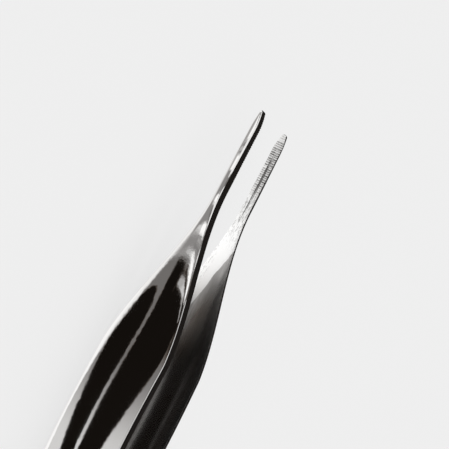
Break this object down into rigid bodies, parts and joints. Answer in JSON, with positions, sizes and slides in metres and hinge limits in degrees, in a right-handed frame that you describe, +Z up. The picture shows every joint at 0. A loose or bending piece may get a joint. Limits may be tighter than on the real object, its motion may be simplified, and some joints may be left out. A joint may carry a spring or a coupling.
{
  "type": "podiatry tweezers",
  "caption": "Thumb tweezers of sprung polished steel: broad grip, slender toothed jaws with a long middle groove, arms welded at the heel, lying on their side.",
  "frame": {"origin": "on the surface the tool lies on, under the middle plane between the arms, half way from the heel to the tips", "axes": "+X from the heel to the tips, +Y from the right arm to the left arm, +Z up, across the width of the arms"},
  "size_m": [0.12, 0.0216, 0.013],
  "materials": {
    "polished_steel": "mirror polished outside, satin ground on the inner faces of the jaws"
  },
  "bodies": {
    "root": {"left_arm": "polished_steel", "right_arm": "polished_steel"}
  },
  "joints": []
}
